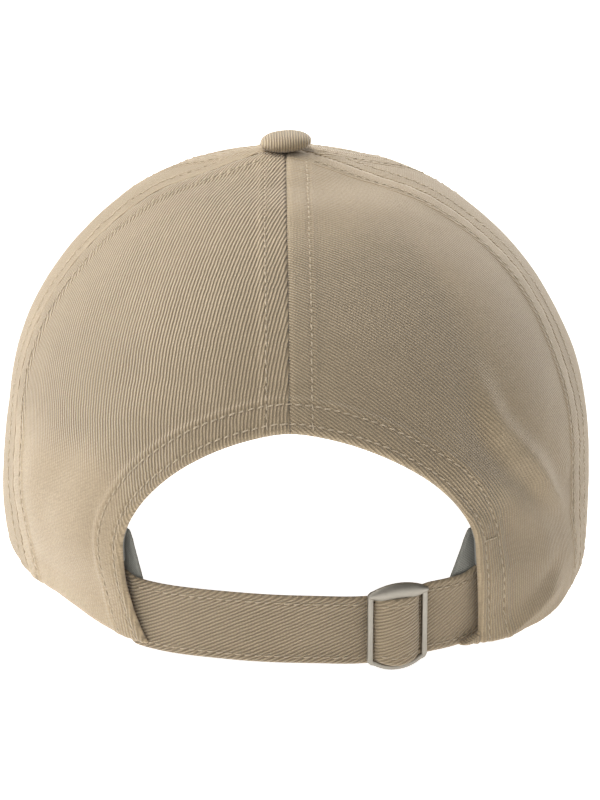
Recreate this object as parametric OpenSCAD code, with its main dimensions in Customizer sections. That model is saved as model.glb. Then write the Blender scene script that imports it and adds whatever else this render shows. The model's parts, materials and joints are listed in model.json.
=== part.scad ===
// Soft six-panel baseball cap with an arched rear opening, a fabric strap and a sliding metal buckle.
// Millimetres. +Z is up, the visor points to -Y, the strap faces +Y, +X is the wearer's left.
// The crown is described on a skin addressed by an angle round the head (0 at the back,
// growing towards the wearer's left) and a height number s (0 at the top button, 1 at the hem).

/* [Crown] */
// Half width of the crown over the ears, outside face
crown_half_width = 88.7; // [78:0.1:98]
// Half length of the crown from back to front, outside face
crown_half_length = 99; // [88:0.5:108]
// Height of the crown top above the rear hem
crown_height = 120; // [105:0.5:135]
// Height at which the crown wall starts to round over
shoulder_height = 26.6; // [20:0.1:34]
// Roundness of the dome, 2 is an ellipse and more is boxier
dome_power = 2.25; // [2:0.05:2.6]
// How far the top button sits in front of the hem centre
apex_forward = 15; // [0:0.5:25]
// Height number at which the wall becomes upright
side_start = 0.72; // [0.6:0.01:0.8]
// Share of the half width by which the hem is drawn in at the sides
hem_pull_side = 0.018; // [0:0.001:0.05]
// Share of the half length by which the hem is drawn in at front and back
hem_pull_end = 0.02; // [0:0.001:0.05]
// Rise of the hem at the sides
hem_side_rise = 2.3; // [0:0.1:6]
// Rise of the hem at the front, where the visor is sewn on
hem_front_rise = 14; // [4:0.5:20]
// Thickness of the panel cloth with its seam allowance
cloth = 1.2; // [0.8:0.1:1.6]
// Gap left between neighbouring panels
seam_gap = 0.3; // [0.2:0.05:0.5]

/* [Panels] */
// Angle of the rear side seams at the hem
rear_seam_hem = 69; // [58:1:72]
// Extra angle of the rear side seams near the top
rear_seam_ease = 9; // [0:1:18]
// Angle of the front side seams
front_seam = 122; // [116:1:130]
// Height number at which the panels start under the button
panel_top = 0.025; // [0.02:0.005:0.04]
// Grid columns of one panel
panel_columns = 12; // [8:1:16]
// Grid rows of one panel
panel_rows = 22; // [16:1:26]

/* [Rear opening] */
// Height number of the top of the rear opening
opening_top = 0.54; // [0.5:0.01:0.6]
// Height number at which the rear opening is widest
opening_wide_at = 0.71; // [0.66:0.01:0.76]
// Half angle of the rear opening where it is widest
opening_half = 35; // [30:0.5:38]
// Loss of half angle at the hem on the wearer's left
opening_left_loss = 4.8; // [0:0.2:6]
// Gain of half angle at the hem on the wearer's right
opening_right_gain = 1.2; // [0:0.2:3]
// Width of the facing tape behind the opening edge
facing_width = 9; // [6:0.5:11]

/* [Bands and tapes] */
// Width of the sweatband
sweatband_width = 32; // [26:0.5:38]
// Thickness of the sweatband
sweatband_thick = 1; // [0.8:0.1:1.2]
// Distance of the sweatband inside the hem line
sweatband_inset = 3.4; // [3.2:0.1:4]
// Slant of the sweatband end on the wearer's left
band_end_left = 11; // [4:0.5:14]
// Slant of the sweatband end on the wearer's right
band_end_right = 17; // [8:0.5:20]
// Width of the seam tapes inside the crown
tape_width = 8; // [6:0.5:10]
// Thickness of the seam tapes and the facing
tape_thick = 0.5; // [0.4:0.05:0.6]

/* [Visor] */
// Length of the visor from the front hem to its edge, seen from above
visor_length = 70; // [60:1:78]
// Half width of the visor
visor_half_width = 86; // [80:0.5:90]
// Angle from the front to each visor corner
visor_corner = 64; // [56:1:68]
// Downward slope of the visor centre line
visor_slope = 0.1876; // [0.1:0.002:0.24]
// Height of the visor surface where its slope line meets the hem centre
visor_datum = 29.3; // [27:0.1:31]
// Curl of the visor at the hem, height lost per square millimetre
visor_curl = 0.00336; // [0.003:0.00002:0.0036]
// Extra curl gained towards the visor edge
visor_extra_curl = 0.003; // [0.001:0.0001:0.004]
// Thickness of the stiff visor board
board_thick = 2; // [1.8:0.1:2.8]
// Thickness of each visor cover
cover_thick = 0.8; // [0.6:0.1:1]

/* [Button] */
// Radius of the top button
button_radius = 7.5; // [6:0.1:8.5]
// Height of the top button
button_height = 4; // [3:0.1:5]
// Radius of the washer behind the top button
button_back_radius = 7; // [6:0.1:8]

/* [Strap and buckle] */
// Width of the adjusting strap
strap_width = 20.4; // [18:0.2:22]
// Thickness of the strap
strap_thick = 1; // [0.8:0.1:1.2]
// Outside radius of the arc in which the strap lies
strap_radius = 77.7; // [77:0.1:78]
// Distance of the strap arc centre behind the hem centre
strap_centre = 17.7; // [17:0.1:18.4]
// Angle covered by the strap on each side of the back
strap_half = 48; // [44:1:48]
// Angle of the buckle from the back, towards the wearer's right
buckle_angle = 20.3; // [16:0.1:22]
// Width of the buckle along the strap
buckle_width = 18.2; // [17:0.1:19]
// Height of the buckle across the strap
buckle_height = 26.4; // [25:0.1:27]
// Height of the buckle centre above the rear hem
buckle_middle = 9.6; // [9:0.1:10.4]
// Width of the buckle side rails
rail_width = 1.6; // [1.3:0.1:1.9]
// Thickness of the buckle rails
rail_thick = 1.6; // [1.3:0.1:1.8]
// Height of the domed lip on top of the buckle
lip_height = 5.4; // [4:0.1:6]

/* [Rest] */
// Tilt of the hem when the cap rests on its visor edges and buckle
rest_tilt = 6.1; // [4:0.1:8]
// Height of the hem frame above the table
rest_lift = 13.75; // [0:0.01:20]
// Distance by which the hem frame is moved back to centre the whole cap
rest_shift = 33.75; // [0:0.1:50]

/* [Hidden] */

khaki = [0.62, 0.56, 0.46];
olive = [0.42, 0.42, 0.38];
metal = [0.66, 0.63, 0.56];
board = [0.8, 0.78, 0.72];
deg = 180 / PI;
air = 0.35;
facing_air = 0.5;
cover_gap = 0.3;
facing_bottom = 0.765;

// ---- the crown skin ----
function drop(s) = s < side_start ? 0 : (s - side_start) / (1 - side_start);
function reach(s) = s < side_start ? sin(90 * s / side_start) : 1;
function lift(s) = s < side_start ? pow(cos(90 * s / side_start), 2 / dome_power) : 0;
function hem_rise(th) = hem_side_rise * pow(sin(th), 2) + hem_front_rise * pow(max(0, -cos(th)), 2);
function skin(th, s) = let (q = drop(s), r = reach(s)) [
    crown_half_width * (r - hem_pull_side * q * q) * sin(th),
    crown_half_length * (r - hem_pull_end * q * q) * cos(th) - apex_forward * (1 - r * r),
    s < side_start ? shoulder_height + (crown_height - shoulder_height) * lift(s)
        : shoulder_height * (1 - q) + hem_rise(th) * q];
function normal(th, s) = let (
    a = skin(th + 0.5, s) - skin(th - 0.5, s),
    b = skin(th, s + 0.004) - skin(th, s - 0.004),
    c = cross(a, b)) c / norm(c);
function layer(th, s, off) = skin(th, s) + off * normal(th, s);
function round_size(th, s) = norm(skin(th + 0.5, s) - skin(th - 0.5, s));
function ease(x) = let (c = min(1, max(0, x))) c * c * (3 - 2 * c);

// ---- seam lines and the rear opening ----
function rear_seam(s) = rear_seam_hem + rear_seam_ease * ease((0.8 - s) / 0.45);
function gap_angle(th, s) = seam_gap / 2 / round_size(th, s);
function arch(s) = let (e = (s - opening_top) / (opening_wide_at - opening_top))
    e <= 0 ? 0 : opening_half * pow(1 - pow(1 - min(1, e), 1.5), 0.588);
function below(s) = max(0, (s - opening_wide_at) / (1 - opening_wide_at));
function open_left(s) = arch(s) - opening_left_loss * pow(below(s), 2);
function open_right(s) = arch(s) + opening_right_gain * below(s);

// ---- a thin sheet between two grids of points, front and back ----
module sheet(front, back, nu, nv, flip = false) {
    w = nu + 1;
    n = w * (nv + 1);
    polyhedron(points = concat(front, back), faces = concat(
        [for (j = [0 : nv - 1], i = [0 : nu - 1]) let (a = j * w + i, b = a + 1, c = a + w + 1, d = a + w)
            each flip ? [[a, d, b], [b, d, c], [a + n, b + n, d + n], [b + n, c + n, d + n]]
                : [[a, c, b], [a, d, c], [a + n, b + n, c + n], [a + n, c + n, d + n]]],
        [for (i = [0 : nu - 1]) let (a = i, b = i + 1, d = nv * w + i, c = d + 1)
            each [[a, b, b + n], [a, b + n, a + n], [c, d, d + n], [c, d + n, c + n]]],
        [for (j = [0 : nv - 1]) let (a = j * w, d = a + w, b = j * w + nu, c = b + w)
            each [[d, a, a + n], [d, a + n, d + n], [b, c, c + n], [b, c + n, b + n]]]));
}

// ---- the resting place of the whole cap ----
module rest() {
    translate([0, rest_shift, rest_lift]) rotate([-rest_tilt, 0, 0]) children();
}

// ---- panels ----
rows_plain = [for (j = [0 : panel_rows]) panel_top + (1 - panel_top) * j / panel_rows];
rows_above = floor(panel_rows / 2);
rows_rear = concat(
    [for (j = [0 : rows_above - 1]) panel_top + (opening_top - panel_top) * j / rows_above],
    [for (j = [0 : panel_rows - rows_above])
        opening_top + (1 - opening_top) * pow(j / (panel_rows - rows_above), 1.9)]);

module panel(rows, lo, hi, flip = false) {
    n = panel_columns;
    front = [for (j = [0 : len(rows) - 1], i = [0 : n]) layer(lo[j] + (hi[j] - lo[j]) * i / n, rows[j], 0)];
    back = [for (j = [0 : len(rows) - 1], i = [0 : n]) layer(lo[j] + (hi[j] - lo[j]) * i / n, rows[j], -cloth)];
    rest() sheet(front, back, n, len(rows) - 1, flip);
}

module rear_panel_left() {
    color(khaki) panel(rows_rear, [for (s = rows_rear) max(open_left(s), gap_angle(0, s))],
        [for (s = rows_rear) rear_seam(s) - gap_angle(rear_seam(s), s)], true);
}

module rear_panel_right() {
    color(khaki) panel(rows_rear, [for (s = rows_rear) -rear_seam(s) + gap_angle(rear_seam(s), s)],
        [for (s = rows_rear) -max(open_right(s), gap_angle(0, s))]);
}

module side_panel_left() {
    color(khaki) panel(rows_plain, [for (s = rows_plain) rear_seam(s) + gap_angle(rear_seam(s), s)],
        [for (s = rows_plain) front_seam - gap_angle(front_seam, s)]);
}

module side_panel_right() {
    color(khaki) panel(rows_plain, [for (s = rows_plain) -front_seam + gap_angle(front_seam, s)],
        [for (s = rows_plain) -rear_seam(s) - gap_angle(rear_seam(s), s)]);
}

module front_panel_left() {
    color(khaki) panel(rows_plain, [for (s = rows_plain) front_seam + gap_angle(front_seam, s)],
        [for (s = rows_plain) 180 - gap_angle(180, s)]);
}

module front_panel_right() {
    color(khaki) panel(rows_plain, [for (s = rows_plain) -180 + gap_angle(180, s)],
        [for (s = rows_plain) -front_seam - gap_angle(front_seam, s)]);
}

// ---- seam tapes on the inside of the crown ----
tape_start = 0.085;
tape_rows = 20;
module tape(centre, stop) {
    rows = [for (j = [0 : tape_rows]) tape_start + (stop - tape_start) * j / tape_rows];
    function edge(j, side) = centre[j] + side * tape_width / 2 / round_size(centre[j], rows[j]);
    front = [for (j = [0 : tape_rows], i = [-1, 0, 1]) layer(edge(j, i), rows[j], -cloth - air)];
    back = [for (j = [0 : tape_rows], i = [-1, 0, 1]) layer(edge(j, i), rows[j], -cloth - air - tape_thick)];
    rest() sheet(front, back, 2, tape_rows);
}
function steps(stop) = [for (j = [0 : tape_rows]) tape_start + (stop - tape_start) * j / tape_rows];
tape_stop = 0.985;
rear_tape_stop = opening_top - 0.055;
module front_seam_tape() { color(olive) tape([for (s = steps(tape_stop)) 180], tape_stop); }
module front_left_seam_tape() { color(olive) tape([for (s = steps(tape_stop)) front_seam], tape_stop); }
module front_right_seam_tape() { color(olive) tape([for (s = steps(tape_stop)) -front_seam], tape_stop); }
module rear_left_seam_tape() { color(olive) tape([for (s = steps(tape_stop)) rear_seam(s)], tape_stop); }
module rear_right_seam_tape() { color(olive) tape([for (s = steps(tape_stop)) -rear_seam(s)], tape_stop); }
module rear_seam_tape() { color(olive) tape([for (s = steps(rear_tape_stop)) 0], rear_tape_stop); }

// ---- facing tape that follows the rear opening ----
facing_steps = 36;
per_angle = 1.55;
per_s = 215;
function arch_at(t) = let (s = opening_top + (facing_bottom - opening_top) * t * t) [sign(t) * arch(s), s];
function arch_mm(t) = let (p = arch_at(t)) [p[0] * per_angle, -p[1] * per_s];
function arch_out(t) = let (d = arch_mm(t + 0.01) - arch_mm(t - 0.01), n = [d[1], -d[0]] / norm(d))
    n * (n * [arch_mm(t)[0], arch_mm(t)[1] + 0.8 * per_s] < 0 ? -1 : 1);
function facing_point(t, wide, off) = let (p = arch_mm(t) + wide * arch_out(t))
    layer(p[0] / per_angle, -p[1] / per_s, off);
module opening_facing() {
    ts = [for (k = [0 : facing_steps]) 1 - 2 * k / facing_steps];
    wides = [0.4, facing_width / 2, facing_width];
    front = [for (w = wides, t = ts) facing_point(t, w, -cloth - facing_air)];
    back = [for (w = wides, t = ts) facing_point(t, w, -cloth - facing_air - tape_thick)];
    color(olive) rest() sheet(front, back, facing_steps, 2);
}

// ---- sweatband, an upright band inside the hem ----
band_steps = 60;
band_a = crown_half_width * (1 - hem_pull_side) - sweatband_inset;
band_b = crown_half_length * (1 - hem_pull_end) - sweatband_inset;
function band_point(th, h, inner) = [(band_a - inner) * sin(th), (band_b - inner) * cos(th),
    hem_rise(th) + 0.4 + h * (sweatband_width - 0.4)];
module sweatband() {
    start = open_left(opening_wide_at) + 0.6;
    stop = 360 - open_right(opening_wide_at) - 0.6;
    function end_left(h) = start - band_end_left * (1 - h) / band_b * deg;
    function end_right(h) = stop + band_end_right * (1 - h) / band_b * deg;
    function along(k, h) = end_left(h) + (end_right(h) - end_left(h)) * k / band_steps;
    front = [for (h = [1, 0.5, 0], k = [0 : band_steps]) band_point(along(k, h), h, 0)];
    back = [for (h = [1, 0.5, 0], k = [0 : band_steps]) band_point(along(k, h), h, sweatband_thick)];
    color(olive) rest() sheet(front, back, band_steps, 2);
}

// ---- top button ----
module at_apex() {
    rest() translate([0, -apex_forward, crown_height]) children();
}
module dome(radius, height, base) {
    // a flattened cap on a short rim, height measured from base
    rotate_extrude($fn = 96) polygon(concat([[0, base], [radius - 0.3, base], [radius, base + 0.4]],
        [for (a = [10 : 10 : 80]) [radius * cos(a), base + 0.4 + (height - 0.4) * sin(a)]],
        [[0, base + height]]));
}
button_floor = 0.3;
module button_cover() {
    color(khaki) at_apex() difference() {
        dome(button_radius, button_height, button_floor);
        translate([0, 0, -0.01]) dome(button_radius - 0.8, button_height - 0.8, button_floor);
    }
}
module button_shell() {
    color(metal) at_apex() union() {
        dome(button_radius - 0.95, button_height - 1.05, button_floor + 0.1);
        translate([0, 0, -2.2]) cylinder(r = 1.8, h = 2.9, $fn = 48);
    }
}
module button_back() {
    color(metal) at_apex() difference() {
        translate([0, 0, -3.9]) cylinder(r = button_back_radius, h = 2.2, $fn = 96);
        translate([0, 0, -2.5]) cylinder(r = 2.1, h = 2, $fn = 48);
    }
}

// ---- visor ----
visor_columns = 26;
visor_rows = 8;
visor_end_half = 78;
visor_end_forward = 44;
function visor_turn(f) = 180 + f * visor_corner;
function visor_base(f) = let (th = visor_turn(f), a = crown_half_width * (1 - hem_pull_side) - 2.5,
    b = crown_half_length * (1 - hem_pull_end) - 2.5) [-a * sin(th), -b * cos(th)];
function visor_edge(f, inset) = let (a = abs(f) * 90, l = crown_half_length * (1 - hem_pull_end) + visor_length) [
    sign(f) * ((visor_half_width - inset) * pow(sin(a), 0.9)
        - (visor_half_width - visor_end_half) * pow(abs(f), 6)),
    visor_end_forward + (l - inset - visor_end_forward) * pow(cos(a), 0.85)];
function visor_curve(g, far) = visor_datum - visor_slope * g[1]
    - (visor_curl + visor_extra_curl * far) * g[0] * g[0];
function visor_point(f, t, inset, off) = let (
    p = visor_base(f), e = visor_edge(f, inset), g = p + (e - p) * t,
    seat = hem_rise(visor_turn(f)) - 0.3 - (half_board + cover_gap + cover_thick) - visor_curve(p, 0))
    [g[0], -g[1], visor_curve(g, norm(e - p) * t / 60) + seat * pow(1 - t, 2) + off];
module visor_layer(inset, low, high) {
    fs = [for (i = [0 : visor_columns]) -1 + 2 * i / visor_columns];
    ts = [for (j = [0 : visor_rows]) j / visor_rows];
    front = [for (t = ts, f = fs) visor_point(f, t, inset, high)];
    back = [for (t = ts, f = fs) visor_point(f, t, inset, low)];
    rest() mirror([1, 0, 0]) sheet(front, back, visor_columns, visor_rows);
}
half_board = board_thick / 2;
module visor_board() { color(board) visor_layer(1, -half_board, half_board); }
module visor_top_cover() { color(khaki) visor_layer(0, half_board + cover_gap, half_board + cover_gap + cover_thick); }
module visor_under_cover() { color(khaki) visor_layer(0, -half_board - cover_gap - cover_thick, -half_board - cover_gap); }

// ---- strap ----
module strap_arc(outer, inner, low, high, from, to) {
    rest() translate([0, strap_centre, low]) rotate([0, 0, 90 - to])
        rotate_extrude(angle = to - from, $fn = 180) translate([inner, 0]) square([outer - inner, high - low]);
}
module adjusting_strap() {
    color(khaki) strap_arc(strap_radius, strap_radius - strap_thick, 0, strap_width, -strap_half, strap_half);
}

// ---- buckle, drawn flat with Z outward and Y up, then stood against the strap ----
buckle_base = strap_radius + 0.9;
module at_buckle() {
    rest() translate([0, strap_centre, buckle_middle]) rotate([0, 0, buckle_angle])
        translate([0, buckle_base, 0]) rotate([90, 0, 180]) children();
}
function round_rect(w, h, r) = [for (c = [[1, 1, 0], [-1, 1, 90], [-1, -1, 180], [1, -1, 270]], a = [0 : 15 : 90])
    [c[0] * (w / 2 - r) + r * cos(c[2] + a), c[1] * (h / 2 - r) + r * sin(c[2] + a)]];
bottom_rail = 2.1;
top_rail = 1.9;
bar_radius = 0.8;
bar_out = 1.1;
module buckle_frame() {
    inner_h = buckle_height - bottom_rail - top_rail;
    inner_w = buckle_width - 2 * rail_width;
    lip_w = buckle_width + 0.6;
    color(metal) at_buckle() union() {
        linear_extrude(rail_thick) difference() {
            polygon(round_rect(buckle_width, buckle_height, 2));
            translate([0, (bottom_rail - top_rail) / 2]) polygon(round_rect(inner_w, inner_h, 1));
        }
        // domed lip over the top rail
        translate([0, buckle_height / 2 - lip_height, rail_thick - 0.2]) linear_extrude(1.5)
            polygon(concat([for (a = [0 : 6 : 180]) [lip_w / 2 * cos(a), lip_height * 0.62 + lip_height * 0.42 * sin(a)]],
                [for (a = [180 : 6 : 360]) [lip_w / 2 * cos(a), lip_height * 0.62 + lip_height * 0.62 * sin(a)]]));
        // centre bar, standing a little proud of the strap
        translate([0, -buckle_height / 2 + 1, bar_out]) rotate([-90, 0, 0])
            cylinder(r = bar_radius, h = buckle_height - 2, $fn = 48);
    }
}
fold_half = 6.9;
fold_rise = 3.1;
fold_thick = 0.8;
fold_low = -buckle_middle + 0.2;
fold_high = buckle_height / 2 - top_rail - 0.4;
function fold_line(x) = 0.1 + fold_rise * pow(max(0, cos(90 * x / fold_half)), 0.7);
module strap_fold() {
    xs = [for (i = [0 : 24]) -fold_half + 2 * fold_half * i / 24];
    low = max(fold_low, -buckle_height / 2 + bottom_rail + 0.3);
    high = buckle_height / 2 - lip_height - 0.2;
    color(khaki) at_buckle() translate([0, high, 0]) rotate([90, 0, 0]) linear_extrude(high - low)
        polygon(concat([for (x = xs) [x, fold_line(x)]], [for (i = [24 : -1 : 0]) [xs[i], fold_line(xs[i]) + fold_thick]]));
}
module bar_wrap() {
    low = -buckle_height / 2 + bottom_rail + 0.6;
    color(khaki) at_buckle() translate([0, low, bar_out]) rotate([-90, 0, 0]) difference() {
        cylinder(r = bar_radius + 0.65, h = buckle_height - bottom_rail - lip_height - 1.4, $fn = 64);
        translate([0, 0, -1]) cylinder(r = bar_radius + 0.1, h = buckle_height, $fn = 64);
    }
}

front_panel_left();
front_panel_right();
side_panel_left();
side_panel_right();
rear_panel_left();
rear_panel_right();
front_seam_tape();
front_left_seam_tape();
front_right_seam_tape();
rear_left_seam_tape();
rear_right_seam_tape();
rear_seam_tape();
opening_facing();
sweatband();
button_cover();
button_shell();
button_back();
visor_board();
visor_top_cover();
visor_under_cover();
adjusting_strap();
buckle_frame();
strap_fold();
bar_wrap();
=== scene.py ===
import json
import math
import bpy
import numpy as np
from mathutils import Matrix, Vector, kdtree

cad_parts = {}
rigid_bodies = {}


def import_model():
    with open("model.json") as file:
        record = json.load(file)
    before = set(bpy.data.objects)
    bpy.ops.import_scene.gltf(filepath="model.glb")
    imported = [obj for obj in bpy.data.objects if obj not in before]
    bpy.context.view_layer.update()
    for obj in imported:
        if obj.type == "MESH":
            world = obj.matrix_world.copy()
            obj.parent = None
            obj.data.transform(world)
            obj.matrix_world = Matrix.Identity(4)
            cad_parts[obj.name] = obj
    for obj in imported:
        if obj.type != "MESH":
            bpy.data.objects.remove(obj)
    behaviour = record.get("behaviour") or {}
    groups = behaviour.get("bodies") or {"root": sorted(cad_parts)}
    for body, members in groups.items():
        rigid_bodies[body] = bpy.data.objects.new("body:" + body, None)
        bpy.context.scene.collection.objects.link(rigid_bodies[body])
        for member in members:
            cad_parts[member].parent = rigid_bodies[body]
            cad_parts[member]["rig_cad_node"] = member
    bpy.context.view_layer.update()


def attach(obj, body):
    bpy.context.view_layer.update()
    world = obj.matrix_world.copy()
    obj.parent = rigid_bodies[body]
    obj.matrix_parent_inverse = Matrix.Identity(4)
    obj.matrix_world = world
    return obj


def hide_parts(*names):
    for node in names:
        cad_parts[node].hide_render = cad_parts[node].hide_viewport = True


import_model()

# ---- sizes
# Millimetres, in the hem frame: u to the wearer's left, v to the back, w up.
HALF_W, HALF_L, HIGH = 88.7, 99.0, 120.0
SHOULDER, DOME, APEX, SIDE = 26.6, 2.25, 15.0, 0.72
PULL_S, PULL_E, RISE_S, RISE_F, CLOTH = 0.018, 0.02, 2.3, 14.0, 1.2
SEAM_HEM, SEAM_EASE, SEAM_F = 69.0, 9.0, 122.0
O_TOP, O_WIDE, O_HALF, O_LEFT, O_RIGHT = 0.54, 0.71, 35.0, 4.8, 1.2
TILT, LIFT, SHIFT = math.radians(6.1), 13.75, 33.75
STRAP_R, STRAP_C, STRAP_W = 77.7, 17.7, 20.4
BUCKLE_AT, BUCKLE_MID, BUCKLE_W, BUCKLE_H = 20.3, 9.6, 18.2, 26.4
SEAM_ROW, ROW_IN, ROW_OUT, PITCH = 6.4, 2.4, 8.0, 2.75
REAR_MID, SIDE_MID, FRONT_MID = 37.0, 98.0, 151.0      # the grain lines of the panels, in degrees
SEAM_GAP, MM_PER_DEGREE = 0.03, 1.55                   # between two panels; round the hem
DEGREES = 57.2958                                      # in a radian


def join(*parts):
    """One array from coordinates (or point numbers) given apart."""
    return np.stack(parts, -1)


def row_frame(p):
    """Hem-frame millimetres to the part's own frame in metres."""
    p = np.asarray(p, float)
    c, s = math.cos(TILT), math.sin(TILT)
    return join(p[..., 0], p[..., 1] * c + p[..., 2] * s + SHIFT,
                -p[..., 1] * s + p[..., 2] * c + LIFT) / 1000


def smooth(x):
    x = np.clip(x, 0, 1)
    return x * x * (3 - 2 * x)


def bell(x, wide):
    """1 at x = 0, falling smoothly to about a third at the given width."""
    return np.exp(-(x / wide) ** 2)


def noise(p, size, seed=0):
    """Soft value noise from -1 to 1 on points in millimetres."""
    q = np.asarray(p, float) / size + 37.3 + seed * 11.7
    i = np.floor(q)
    f = q - i
    f = f * f * (3 - 2 * f)

    def corner(dx, dy, dz):
        v = np.sin((i[..., 0] + dx) * 127.1 + (i[..., 1] + dy) * 311.7 + (i[..., 2] + dz) * 74.7 + seed * 5.3)
        v = v * 43758.5453
        return v - np.floor(v)

    out = 0
    for dx, dy, dz in np.ndindex(2, 2, 2):
        wt = (f[..., 0] if dx else 1 - f[..., 0]) * (f[..., 1] if dy else 1 - f[..., 1])
        out = out + corner(dx, dy, dz) * (wt * (f[..., 2] if dz else 1 - f[..., 2]))
    return out * 2 - 1


# ---- the crown skin
def hem_rise(th):
    """Height of the hem, which lifts a little at the sides and more in front."""
    t = np.radians(th)
    return RISE_S * np.sin(t) ** 2 + RISE_F * np.maximum(-np.cos(t), 0) ** 2


def skin(th, s):
    """The smooth crown at an angle from the back (towards the left) and a height number, 0 top to 1 hem."""
    t = np.radians(th)
    s = np.asarray(s, float)
    q = np.clip((s - SIDE) / (1 - SIDE), 0, None)
    up = s < SIDE
    a = np.pi / 2 * np.minimum(s / SIDE, 1)
    r = np.where(up, np.sin(a), 1.0)
    lift = np.where(up, np.maximum(np.cos(a), 0) ** (2 / DOME), 0.0)
    w = np.where(up, SHOULDER + (HIGH - SHOULDER) * lift, SHOULDER * (1 - q) + hem_rise(th) * q)
    return join(HALF_W * (r - PULL_S * q * q) * np.sin(t),
                HALF_L * (r - PULL_E * q * q) * np.cos(t) - APEX * (1 - r * r), w)


def unit(v):
    return v / np.maximum(np.linalg.norm(v, axis=-1, keepdims=True), 1e-9)


def outward(th):
    """The level direction at an angle from the back."""
    t = np.radians(th)
    return unit(join(np.sin(t), np.cos(t), 0 * t))


def run_along(p):
    """Distance along a line of points, from its start to each point."""
    return np.concatenate([[0], np.cumsum(np.linalg.norm(np.diff(p, axis=0), axis=-1))])


def normal(th, s):
    s = np.maximum(s, 0.006)
    return unit(np.cross(skin(th + 0.5, s) - skin(th - 0.5, s), skin(th, s + 0.004) - skin(th, s - 0.004)))


def per_degree(th, s):
    """Millimetres to a degree round the crown."""
    return np.linalg.norm(skin(th + 0.5, s) - skin(th - 0.5, s), axis=-1)


def rear_seam(s):
    return SEAM_HEM + SEAM_EASE * smooth((0.8 - s) / 0.45)


def arch(s):
    e = np.clip((s - O_TOP) / (O_WIDE - O_TOP), 0, 1)
    return O_HALF * (1 - (1 - e) ** 1.5) ** 0.588


def below(s):
    return np.clip((s - O_WIDE) / (1 - O_WIDE), 0, None)


def open_left(s):
    return arch(s) - O_LEFT * below(s) ** 2


def open_right(s):
    return arch(s) + O_RIGHT * below(s)


def toe_right(s):
    """The folded corner of the hem that reaches over the strap's lower edge."""
    return open_right(s) - 4.4 * smooth((s - 0.95) / 0.05) ** 1.5


S_TABLE = np.linspace(0, 1, 1201)
RHO_TABLE = run_along(skin(np.full(1201, 45.0), S_TABLE))


def rho(s):
    """Millimetres down the skin from the top to a height number; s_at goes back."""
    return np.interp(s, S_TABLE, RHO_TABLE)


def s_at(r):
    return np.interp(r, RHO_TABLE, S_TABLE)


def sway(p):
    """The cap isn't quite even: its centre seam stands a little to the wearer's left, its lower left
    is drawn in behind, its lower right stands fuller, and the cloth dips around the button."""
    u, v, w = p[..., 0], p[..., 1], p[..., 2]
    out = np.array(p, float)
    mid = bell(u, 45) * smooth((w - 25) / 30)
    out[..., 0] += 1.2 * smooth((w - 45) / 30) + 1.7 * mid + 0.4 * smooth((w - 90) / 25)
    out[..., 0] += np.sign(u) * 0.7 * smooth((np.abs(u) - 30) / 40) * smooth((w - 45) / 20) * smooth((122 - w) / 15)
    left = smooth((u - 45) / 30)
    out[..., 0] += 1.3 * left * bell(w - 15, 17) * (1 - smooth((v - 15) / 35))
    away = join(u, v * 0.8)
    away = away / np.maximum(np.linalg.norm(away, axis=-1, keepdims=True), 1e-6)
    low = smooth((34 - w) / 34) * smooth(v / 25)
    pull = -3.0 * low * bell(u - 74, 15) + 3.8 * low * bell(u + 70, 17)
    out[..., :2] += away * pull[..., None]
    out[..., 2] -= 2.3 * low * smooth((u + 88) / 22) * smooth((-u - 40) / 14)
    out[..., 2] += 1.9 * low * bell(u - 66, 12)
    out[..., 0] += 1.3 * smooth((-u - 71) / 13) * smooth((12 - w) / 12) * smooth((v + 10) / 20)
    r = np.hypot(u, v + APEX)
    out[..., 2] -= 1.9 * bell(r - 25, 13) * smooth((w - 60) / 20)
    return out


def tree_of(points):
    tree = kdtree.KDTree(len(points))
    for k, c in enumerate(points):
        tree.insert(c, k)
    tree.balance()
    return tree


def nearest(tree, p):
    """Number of the nearest point in the tree, and its distance, for every point of p."""
    found = [tree.find(c)[1:] for c in p.reshape(-1, 3)]
    return (np.array([f[k] for f in found]).reshape(p.shape[:-1]) for k in (0, 1))


class Line:
    """A dense line on the skin, for distances to a seam or an edge."""

    def __init__(self, th, s, step=0.15):
        length = run_along(skin(th, s))
        self.at = np.linspace(0, length[-1], int(length[-1] / step))
        self.th, self.s = np.interp(self.at, length, th), np.interp(self.at, length, s)
        self.p = skin(self.th, self.s)
        self.tree = tree_of(self.p)

    def near(self, p):
        i, d = nearest(self.tree, p)
        return d, self.at[i]


S_ALL = np.linspace(0.006, 1, 900)
SEAMS = {                       # the angle of each seam at a height number, going round
    "rear_left": rear_seam,
    "rear_right": lambda s: -rear_seam(s),
    "front_left": lambda s: SEAM_F + 0 * s,
    "front_right": lambda s: -SEAM_F + 0 * s,
    "front": lambda s: 180 + 0 * s,
}
S_REAR = np.linspace(0.006, O_TOP, 500)
S_OPEN = O_TOP + (1 - O_TOP) * np.linspace(0, 1, 900) ** 2.2
LINES = {
    "rear": Line(np.zeros(500), S_REAR),
    "arch": Line(np.concatenate([open_left(S_OPEN)[::-1], -open_right(S_OPEN)[1:]]),
                 np.concatenate([S_OPEN[::-1], S_OPEN[1:]])),
    "hem": Line(np.linspace(-180, 180, 2400), np.ones(2400), 0.3),
    **{name: Line(at(S_ALL), S_ALL) for name, at in SEAMS.items()},
}

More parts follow.
